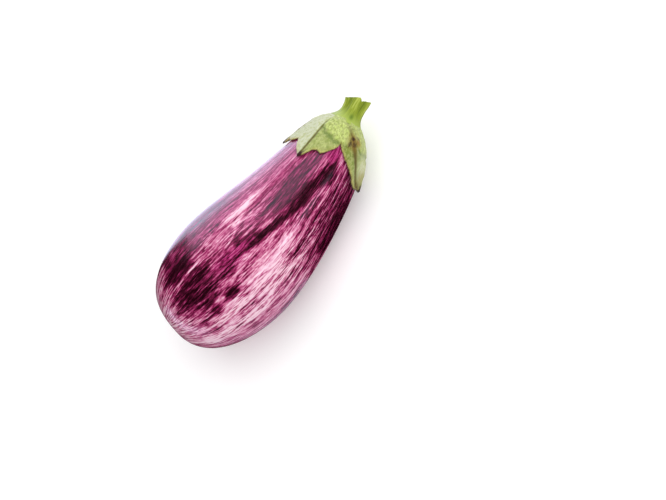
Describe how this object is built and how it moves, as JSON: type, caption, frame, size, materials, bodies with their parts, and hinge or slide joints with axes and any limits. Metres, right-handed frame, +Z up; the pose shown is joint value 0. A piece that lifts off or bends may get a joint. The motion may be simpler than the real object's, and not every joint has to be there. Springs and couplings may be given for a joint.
{
  "type": "striped eggplant",
  "caption": "Short, pear-shaped eggplant as picked, lying on its side, with a lobed green calyx over its shoulder and a short cut stem.",
  "frame": {"origin": "middle of the small flattened spot under the fruit's belly, on the surface that it rests on", "axes": "+X along the fruit towards the stem, +Z up as it lies, +Y across it towards the inside of its bow"},
  "size_m": [0.1914, 0.0822, 0.0831],
  "materials": {
    "skin": "waxy, glossy purple skin with fine pale lengthwise streaks",
    "calyx": "matt, leathery pale green with dried brown tips",
    "stem": "satin yellow-green, ribbed lengthwise"
  },
  "bodies": {
    "root": {"fruit": "skin", "calyx": "calyx", "stem": "stem"}
  },
  "joints": []
}
